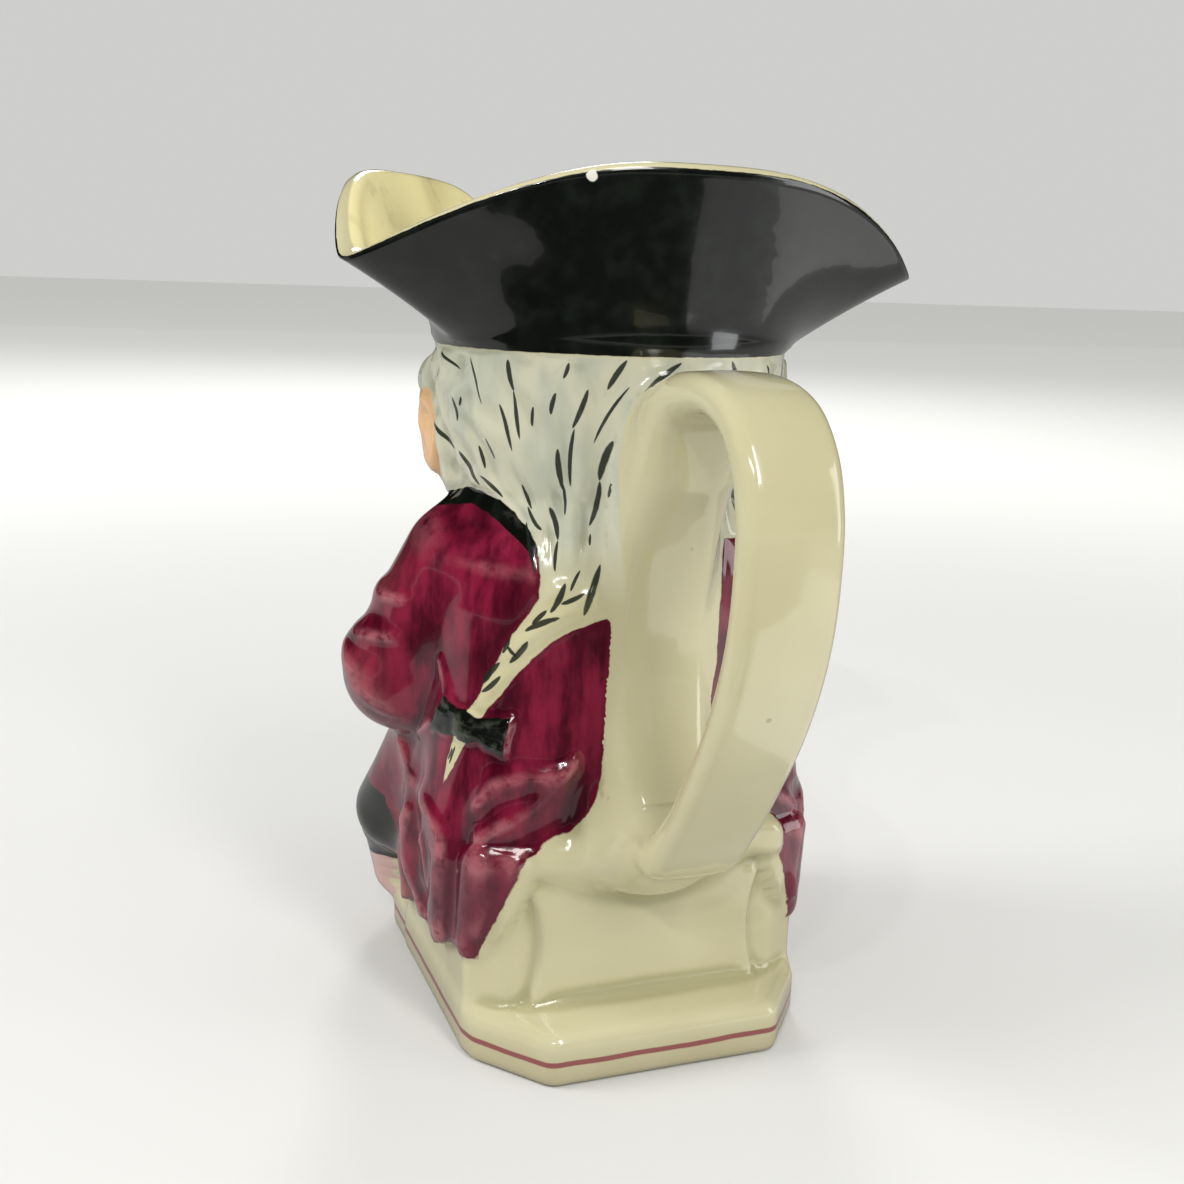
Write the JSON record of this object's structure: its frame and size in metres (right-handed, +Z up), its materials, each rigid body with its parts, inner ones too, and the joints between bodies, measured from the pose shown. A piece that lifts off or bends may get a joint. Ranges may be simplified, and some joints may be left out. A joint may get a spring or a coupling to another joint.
{
  "type": "toby jug",
  "caption": "Glazed earthenware jug cast as a seated man in a tricorn hat, with an open hat mouth and a strap handle behind.",
  "frame": {"origin": "on the flat underside of the base, below the upright axis of the jug", "axes": "+Z up out of the mouth, +Y towards the handle, -Y the way the man looks, +X the man's left"},
  "size_m": [0.1194, 0.1462, 0.1756],
  "materials": {
    "glazed_earthenware": "gloss"
  },
  "bodies": {
    "root": {"toby_jug": "glazed_earthenware"}
  },
  "joints": []
}
